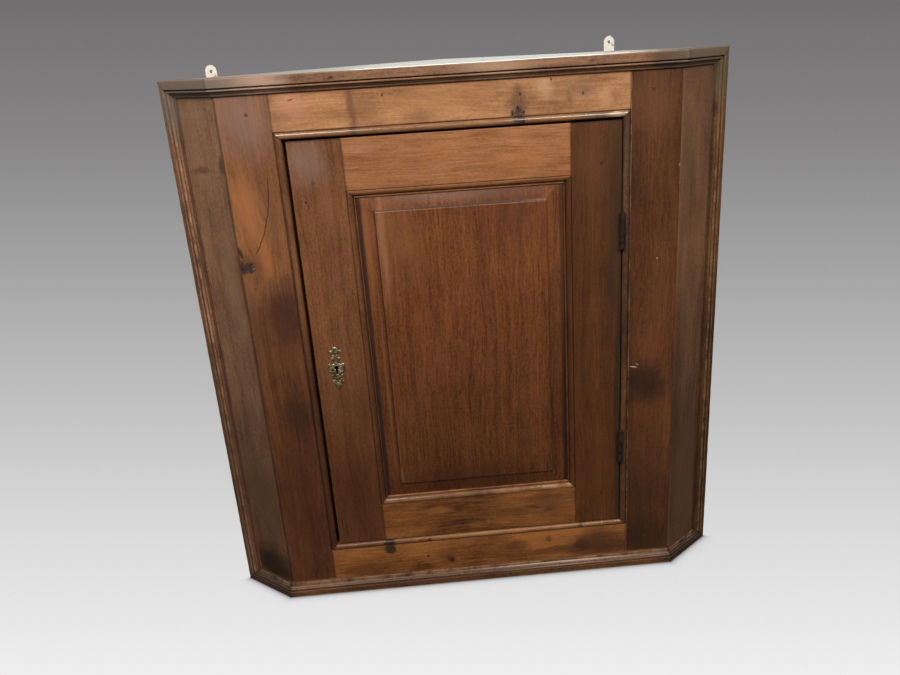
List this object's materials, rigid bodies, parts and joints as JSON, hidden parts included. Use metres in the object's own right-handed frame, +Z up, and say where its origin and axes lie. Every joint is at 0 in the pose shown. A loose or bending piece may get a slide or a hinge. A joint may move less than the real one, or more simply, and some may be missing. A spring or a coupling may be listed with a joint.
{
  "type": "corner cupboard",
  "caption": "Wall-hung oak corner cupboard with canted sides, moulded edges, one fielded panel door on butt hinges, a lock with a pierced keyhole plate, and shelves inside.",
  "frame": {"origin": "middle of the bounding box, at the base", "axes": "+Z up, -Y out of the door's face into the room, +Y towards the room's corner, +X to the right"},
  "size_m": [0.76, 0.443, 0.796],
  "materials": {
    "oak_stile": "aged oak, waxed and glossy, reddish brown",
    "oak_rail": "aged oak, waxed, lighter honey brown",
    "oak_panel": "aged oak, waxed, red-brown with dark grain",
    "oak_side": "aged oak, duller greyish brown",
    "oak_moulding": "aged oak mouldings, worn and dark in the quirks",
    "oak_peg": "dark oak pegs, end grain",
    "painted_top": "pale worn grey-green paint",
    "pine": "dry unfinished pine",
    "painted_plate": "cream paint on iron",
    "iron": "dark waxed wrought iron",
    "brass": "aged dull brass"
  },
  "bodies": {
    "case": {"frame_stile_left": "oak_stile", "frame_stile_right": "oak_stile", "bead_left": "oak_stile", "bead_right": "oak_stile", "frame_top_rail": "oak_rail", "frame_bottom_rail": "oak_rail", "bead_top": "oak_rail", "bead_bottom": "oak_rail", "canted_board_left": "oak_side", "canted_board_right": "oak_side", "cornice_front": "oak_moulding", "cornice_left": "oak_moulding", "cornice_right": "oak_moulding", "base_moulding_front": "oak_moulding", "base_moulding_left": "oak_moulding", "base_moulding_right": "oak_moulding", "side_moulding_left": "oak_moulding", "side_moulding_right": "oak_moulding", "frame_peg_top_left": "oak_peg", "frame_peg_bottom_left": "oak_peg", "frame_peg_top_right": "oak_peg", "frame_peg_bottom_right": "oak_peg", "top_board": "painted_top", "bottom_board": "pine", "back_board_left_1": "pine", "back_board_left_2": "pine", "back_board_left_3": "pine", "back_board_right_1": "pine", "back_board_right_2": "pine", "back_board_right_3": "pine", "corner_post": "pine", "shelf_lower": "pine", "shelf_upper": "pine", "shelf_bearer_lower_left": "pine", "shelf_bearer_upper_left": "pine", "shelf_bearer_lower_right": "pine", "shelf_bearer_upper_right": "pine", "door_stop": "pine", "hanging_plate_left": "painted_plate", "hanging_plate_right": "painted_plate", "strike_plate": "iron", "hinge_frame_leaf_upper": "iron", "hinge_frame_leaf_lower": "iron", "hinge_pin_upper": "iron", "hinge_pin_lower": "iron"},
    "door": {"door_stile_left": "oak_stile", "door_stile_right": "oak_stile", "door_top_rail": "oak_rail", "door_bottom_rail": "oak_rail", "door_panel": "oak_panel", "door_peg_top_left": "oak_peg", "door_peg_bottom_left": "oak_peg", "door_peg_top_right": "oak_peg", "door_peg_bottom_right": "oak_peg", "hinge_door_leaf_upper": "iron", "hinge_door_leaf_lower": "iron", "lock_case": "iron", "lock_cap": "iron", "escutcheon": "brass"},
    "lock_bolt": {"lock_bolt": "iron"}
  },
  "joints": [
    {"name": "door_hinge", "type": "hinge", "parent": "case", "child": "door", "pos_m": [0.2223, -0.21506, 0.38], "axis": [0, 0, 1], "range_deg": [0, 150]},
    {"name": "bolt_slide", "type": "slide", "parent": "door", "child": "lock_bolt", "axis": [-1, 0, 0], "range_m": [0, 0.01]}
  ]
}
